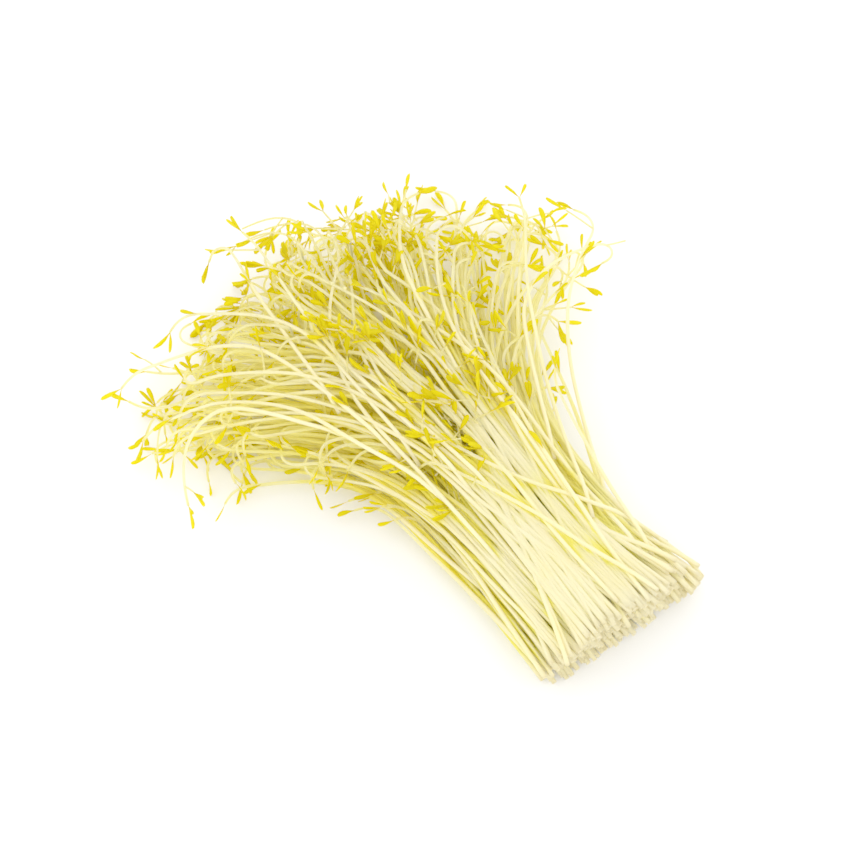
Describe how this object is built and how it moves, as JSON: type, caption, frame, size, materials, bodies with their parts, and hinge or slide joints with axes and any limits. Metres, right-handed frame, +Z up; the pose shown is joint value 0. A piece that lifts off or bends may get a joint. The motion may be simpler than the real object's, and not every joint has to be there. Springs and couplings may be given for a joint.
{
  "type": "lentil sprout bunch",
  "caption": "Cut bunch of long pale lentil sprouts lying on its side: stems side by side, level at the cut ends, fanning out to small golden leaves.",
  "frame": {"origin": "on the surface that the bunch lies on, under the middle of its footprint", "axes": "+Y runs from the cut ends to the leafy tips, +Z is up, away from the surface, and +X is to the right of a viewer who looks along +Y"},
  "size_m": [0.1592, 0.1732, 0.0373],
  "materials": {
    "lentil_shoot": "moist, slightly shiny ivory-white plant stem that goes yellow where little light reaches"
  },
  "bodies": {
    "root": {"bottom_lock_1": "lentil_shoot", "bottom_lock_2": "lentil_shoot", "bottom_lock_3": "lentil_shoot", "bottom_lock_4": "lentil_shoot", "bottom_lock_5": "lentil_shoot", "bottom_lock_6": "lentil_shoot", "bottom_lock_7": "lentil_shoot", "bottom_lock_8": "lentil_shoot", "lower_lock_1": "lentil_shoot", "lower_lock_2": "lentil_shoot", "lower_lock_3": "lentil_shoot", "lower_lock_4": "lentil_shoot", "lower_lock_5": "lentil_shoot", "lower_lock_6": "lentil_shoot", "lower_lock_7": "lentil_shoot", "lower_lock_8": "lentil_shoot", "middle_lock_1": "lentil_shoot", "middle_lock_2": "lentil_shoot", "middle_lock_3": "lentil_shoot", "middle_lock_4": "lentil_shoot", "middle_lock_5": "lentil_shoot", "middle_lock_6": "lentil_shoot", "middle_lock_7": "lentil_shoot", "middle_lock_8": "lentil_shoot", "upper_lock_1": "lentil_shoot", "upper_lock_2": "lentil_shoot", "upper_lock_3": "lentil_shoot", "upper_lock_4": "lentil_shoot", "upper_lock_5": "lentil_shoot", "upper_lock_6": "lentil_shoot", "upper_lock_7": "lentil_shoot", "top_lock_1": "lentil_shoot", "top_lock_2": "lentil_shoot", "top_lock_3": "lentil_shoot", "top_lock_4": "lentil_shoot", "top_lock_5": "lentil_shoot", "loose_shoot_1": "lentil_shoot", "loose_shoot_2": "lentil_shoot", "loose_shoot_3": "lentil_shoot", "loose_shoot_4": "lentil_shoot", "loose_shoot_5": "lentil_shoot", "loose_shoot_6": "lentil_shoot", "loose_shoot_7": "lentil_shoot", "loose_shoot_8": "lentil_shoot", "loose_shoot_9": "lentil_shoot", "loose_shoot_10": "lentil_shoot", "loose_shoot_11": "lentil_shoot", "loose_shoot_12": "lentil_shoot", "loose_shoot_13": "lentil_shoot", "loose_shoot_14": "lentil_shoot", "loose_shoot_15": "lentil_shoot", "loose_shoot_16": "lentil_shoot", "loose_shoot_17": "lentil_shoot", "loose_shoot_18": "lentil_shoot", "loose_shoot_19": "lentil_shoot", "loose_shoot_20": "lentil_shoot"}
  },
  "joints": []
}
